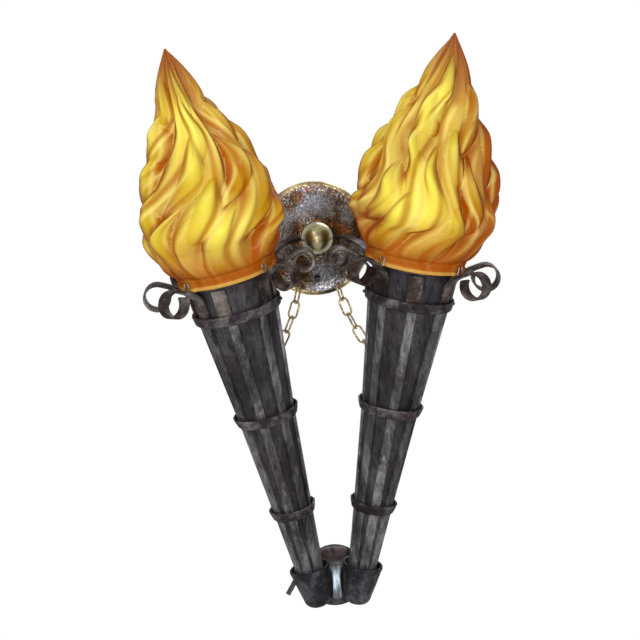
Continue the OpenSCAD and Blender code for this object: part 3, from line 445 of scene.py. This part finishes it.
def flame_profile():
    """(height, radius) up the plain flame: the neck, then two curves by their control points."""
    belly = ((NECK_H, NECK_R), (NECK_H * 1.2, NECK_R + (FLAME_R - NECK_R) * 0.25),
             (BELLY_H * 0.53, FLAME_R), (BELLY_H, FLAME_R))
    taper = ((BELLY_H, FLAME_R), (BELLY_H * 1.8, FLAME_R), (FLAME_H * 0.863, FLAME_R * 0.205),
             (FLAME_H, TIP_R))
    return ([(0.0, NECK_R)]
            + [bezier(*belly, i / BELLY_STEPS) for i in range(BELLY_STEPS + 1)]
            + [bezier(*taper, i / TAPER_STEPS) for i in range(1, TAPER_STEPS + 1)])


PROFILE = flame_profile()


def plain_r(z):
    for (low, r0), (high, r1) in zip(PROFILE, PROFILE[1:]):
        if z <= high and high > low:
            return r0 + (r1 - r0) * (z - low) / (high - low)
    return PROFILE[-1][1]


def tongue(base, h, ring):
    """(swell, share of the way from a tongue's middle to its edge) at a share h of the height."""
    root, tip = RING_ROOT * ring, RING_TIP + RING_TIP_RISE * ring
    count = TONGUE_LOW if ring < TONGUE_RINGS / 2 else TONGUE_HIGH
    step, first, rise = 360 / count, RING_TURN * ring, (h - root) / (tip - root)
    turn = base - first - TONGUE_TWIST * rise - TONGUE_WAVE * sin_of(TONGUE_SWING * rise)
    best = (0.0, 1.0)
    for i in (math.floor(turn / step), math.floor(turn / step) + 1):
        stagger = TIP_STAGGER * sin_of(STAGGER_TURN * (i % count) + first)
        t = (h - root) / (tip + stagger - root)
        if 0 < t < 1:
            half = math.sqrt(min(1, TONGUE_SPREAD * t)) * (1 - t) ** TONGUE_TAPER
            off = abs(turn - i * step) / step * 2 / half
            if off < 1:
                swell = (1 - off * off) * (1 + RING_SWELL * ring)
                swell = swell * min(1, ROOT_SWELL + t) * (1 - t ** TIP_DROP)
                best = max(best, (swell, off))
    return best


def strand(base):
    """Height of the strands that lie under the tongues."""
    return STRAND_HEIGHT * (0.5 + 0.5 * cos_of(STRAND_COUNT * base)) ** STRAND_SHARP


def flow(base, z):
    """The azimuth that the relief at a base azimuth has reached at height z."""
    h, lift = z / FLAME_H, min(1, max(0, z - NECK_H) / (FLAME_H * FLOW_OVER))
    return base + lift * (FLOW_TWIST * h + FLOW_WAVE * sin_of(FLOW_SWING * h + base))


def relief(z):
    """How much of its full depth the relief has at height z."""
    if z <= NECK_H:
        return 0.0
    thick = min(1, RELIEF_LEAST + plain_r(z) / (FLAME_R * RELIEF_FULL))
    return min(1, (z - NECK_H) / (FLAME_H * RELIEF_OVER)) * thick


def fold(base, h, ahead):
    """From 0 to 1: thin lines in two families that lean across each other, come and go."""
    lines = []
    for count, sway, swing, sense in FOLDS:
        ripple = RIPPLE * sin_of(RIPPLE_SWING * h - RIPPLE_TURNS * base)
        wander = sense * (sway * sin_of(swing * h + base) + ripple)
        drift = DRIFT * sin_of(DRIFT_SWING * h)
        pulse = sin_of(PULSE_SWING * h + PULSE_TURNS * base + drift)
        strength = max(0, PULSE_MEAN + PULSE_DEPTH * sense * pulse)
        crest = 0.5 + 0.5 * cos_of(count * (base + wander) + 360 * ahead)
        lines.append(strength * crest ** FOLD_SHARP)
    return max(lines) * min(1, max(0, FOLD_TOP - h) / FOLD_FADE)


def flame_point(base, z, turn):
    """The outside at a base azimuth and a height.

    Gives the radius, azimuth, height of the relief, crest, groove and nearness to a tongue's edge.
    """
    h = z / FLAME_H
    swell, off = max(tongue(base, h, ring) for ring in range(TONGUE_RINGS))
    under = strand(base)
    raised, ridge, groove = max(swell, under), fold(base, h, 0), fold(base, h, GROOVE_PHASE)
    depth = TONGUE_DEPTH * (1 - TIP_SMOOTH * min(1, max(0, h - SMOOTH_FROM) / SMOOTH_OVER))
    if raised < 1:
        depth *= UNDERCUT
    azimuth = flow(base, z) + turn
    carved = depth * (raised - 1) - CREST * (1 - ridge) - CREST * groove
    radius = plain_r(z) + relief(z) * carved
    if z < LUG_H and abs(abs((azimuth + 270) % 360 - 180) - LUG_TURN) < LUG_HALF:
        radius, raised = NECK_R + LUG_T, LUG_RAISED
    elif z < NECK_H:
        across = (z - GROOVE_AT * NECK_H) / (GROOVE_HALF * NECK_H)
        radius -= GROOVE * math.exp(-across ** 2)
        raised = RIM_RAISED if z < RIM_SHARE * NECK_H else NECK_RAISED
    radius = max(radius, TIP_R) - SKIN
    return radius, azimuth, raised, ridge, groove, off if swell > under else 0.5


def painted_light_and_shade(side, azimuth, h):
    """Painted light and shade on the glass: 1 in its palest painted highlight at the front, 0 in
    its deepest painted shade.
    """
    # Painted highlights: pale patches at the front.
    painted_front_light = sum(math.exp(-(((azimuth - at + 180) % 360 - 180) / HIGHLIGHT_TURN) ** 2
                          - ((h - level) / HIGHLIGHT_RISE) ** 2)
                 for at, level in PAINTED_HIGHLIGHTS[side])
    # Painted shade on the side away from the key light.
    deep = PAINTED_SHADE[side] * max(0, cos_of(azimuth - PAINTED_SHADE_AT))
    return 0.5 + 0.5 * min(1, painted_front_light) - 0.5 * deep


def soften(rows):
    """Rounds the folds: each radius takes in its neighbours round and along the flame."""
    for _ in range(SOFTEN):
        rows = [[(row[j - 1] + 2 * row[j] + row[(j + 1) % FLAME_SIDES]) / 4
                 for j in range(FLAME_SIDES)] for row in rows]
        between = [[(a + 2 * b + c) / 4 for a, b, c in zip(*rows[i - 1:i + 2])]
                   for i in range(1, len(rows) - 1)]
        rows = [rows[0]] + between + [rows[-1]]
    return rows


def flame_mesh(side):
    """One closed skin: from its top down the inside, over the neck's rim and up the outside.

    Gives the points, two colours for each point, and the faces. The first colour is (height of
    the relief, crest, share of the flame's height, nearness to a tongue's edge), the second is
    (painted light and shade, groove). The glass paints a highlight on each crest and shade in
    each groove.
    """
    joints = frame["record"]["behaviour"]["joints"]
    joint = next(j for j in joints if j["name"] == f"bulb_{side}_turn")
    axis, rim = Vector(joint["axis"]), Vector(joint["pos_m"])
    across = Vector((0, 1, 0)).cross(axis).normalized()
    deep = axis.cross(across)
    inside = [FLAME_H * INSIDE_TOP * (1 - i / INSIDE_RINGS) for i in range(INSIDE_RINGS + 1)]
    neck = [NECK_H * i / NECK_RINGS for i in range(NECK_RINGS)]
    body = [NECK_H + (FLAME_H * OUTSIDE_TOP - NECK_H) * i / FLAME_RINGS
            for i in range(FLAME_RINGS + 1)]
    levels = inside + neck + body
    spots = [[flame_point(j * 360 / FLAME_SIDES, z, MOULD_TURN[side]) for j in range(FLAME_SIDES)]
             for z in levels]
    first = len(inside + neck)
    radii = [[spot[0] for spot in row] for row in spots[:first]]
    radii += soften([[spot[0] for spot in row] for row in spots[first:]])
    points, licks, tints = [], [], []
    for row, z in enumerate(levels):
        # The inside is plain, and clear of the deepest valley outside it.
        hollow = plain_r(z) - GLASS_T - relief(z) * TONGUE_DEPTH * UNDERCUT - 2 * CREST
        for spot, radius in zip(spots[row], radii[row]):
            azimuth, raised, ridge, groove, off = spot[1:]
            if row < len(inside):
                radius = max(TIP_R, hollow)
            outwards = cos_of(azimuth) * across + sin_of(azimuth) * deep
            points.append(rim + MM * z * axis + MM * radius * outwards)
            licks.append((raised, ridge, z / FLAME_H, off))
            tints.append((painted_light_and_shade(side, azimuth, z / FLAME_H), groove, 0, 1))
    faces = []
    for low in range(0, len(points) - FLAME_SIDES, FLAME_SIDES):
        high = low + FLAME_SIDES
        for j in range(FLAME_SIDES):
            k = (j + 1) % FLAME_SIDES
            faces.append((low + j, low + k, high + k, high + j))
    faces.append(tuple(reversed(range(FLAME_SIDES))))
    faces.append(tuple(range(len(points) - FLAME_SIDES, len(points))))
    return points, licks, tints, faces


def lay_mesh(name, points, faces):
    mesh = bpy.data.meshes.new(name)
    mesh.from_pydata(points, [], faces)
    mesh.validate()
    obj = bpy.data.objects.new(name, mesh)
    bpy.context.collection.objects.link(obj)
    return obj


def make_flame(side):
    points, licks, tints, faces = flame_mesh(side)
    obj = lay_mesh(f"flame_{side}", points, faces)
    # Each set is filled before the next is made: a new one moves those before it.
    for name, colours in (("lick", licks), ("tint", tints)):
        layer = obj.data.attributes.new(name, "FLOAT_COLOR", "POINT")
        for spot, colour in zip(layer.data, colours):
            spot.color = colour
    obj.data.shade_smooth()
    obj.data.materials.append(MATERIALS["flame_glass"])
    node = f"shade_{side}"
    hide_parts(node)
    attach(obj, node)


# ---- camera, light and backdrop ------------------------------------------------
def aim_camera():
    data = bpy.data.cameras.new("camera")
    camera = bpy.data.objects.new("camera", data)
    bpy.context.collection.objects.link(camera)
    bpy.context.scene.camera = camera
    data.sensor_width = SENSOR_MM
    data.lens = FOCAL_SHARE * SENSOR_MM
    # Yaw about the upright, then pitch, then roll about the line of sight.
    turn = (Matrix.Rotation(math.radians(CAMERA_YAW), 4, "Z")
            @ Matrix.Rotation(math.radians(CAMERA_PITCH), 4, "X")
            @ Matrix.Rotation(math.radians(CAMERA_ROLL), 4, "Y"))
    upright = Matrix.Rotation(math.radians(90), 4, "X")
    camera.matrix_world = Matrix.Translation(CAMERA_AT) @ turn @ upright


def area_light(name, at, towards, size, power):
    data = bpy.data.lights.new(name, "AREA")
    data.energy, data.size = power, size
    light = bpy.data.objects.new(name, data)
    bpy.context.collection.objects.link(light)
    light.location = at
    light.rotation_euler = (Vector(towards) - Vector(at)).to_track_quat("-Z", "Y").to_euler()


def white_to_camera(tree, plain_shader, white_shader):
    """White to the camera, in mirrors and through glass; the plain shader otherwise."""
    path = tree.nodes.new("ShaderNodeLightPath")
    seen = path.outputs["Is Camera Ray"]
    for ray in ("Is Glossy Ray", "Is Transmission Ray"):
        either = tree.nodes.new("ShaderNodeMath")
        either.operation = "MAXIMUM"
        tree.links.new(seen, either.inputs[0])
        tree.links.new(path.outputs[ray], either.inputs[1])
        seen = either.outputs[0]
    mix = tree.nodes.new("ShaderNodeMixShader")
    tree.links.new(seen, mix.inputs["Fac"])
    tree.links.new(plain_shader, mix.inputs[1])
    tree.links.new(white_shader, mix.inputs[2])
    return mix.outputs["Shader"]


def light_world():
    world = bpy.data.worlds.new("studio")
    bpy.context.scene.world = world
    world.use_nodes = True
    tree = world.node_tree
    dim = tree.nodes["Background"]
    dim.inputs["Color"].default_value = WORLD_TINT
    dim.inputs["Strength"].default_value = WORLD_STRENGTH
    white = tree.nodes.new("ShaderNodeBackground")
    white.inputs["Color"].default_value = WHITE
    white.inputs["Strength"].default_value = 1.0
    shown = white_to_camera(tree, dim.outputs["Background"], white.outputs["Background"])
    tree.links.new(shown, tree.nodes["World Output"].inputs["Surface"])


def lay_floor():
    height = CAD_BOX[0].z - FLOOR_DROP
    bpy.ops.mesh.primitive_plane_add(size=FLOOR_SIDE, location=(0, 0, height))
    floor = bpy.context.object
    floor.name = "floor"
    material = bpy.data.materials.new("floor")
    material.use_nodes = True
    tree = material.node_tree
    matt = tree.nodes["Principled BSDF"]
    matt.inputs["Base Color"].default_value = FLOOR_GREY
    matt.inputs["Roughness"].default_value = 0.9
    white = tree.nodes.new("ShaderNodeEmission")
    shown = white_to_camera(tree, matt.outputs["BSDF"], white.outputs["Emission"])
    tree.links.new(shown, tree.nodes["Material Output"].inputs["Surface"])
    floor.data.materials.append(material)


dress_nodes()
for flame_side in ("left", "right"):
    make_flame(flame_side)
aim_camera()
light_world()
lay_floor()
for light_name, light_row in LIGHTS.items():
    area_light(light_name, *light_row)
bpy.context.scene.view_settings.view_transform = "Standard"
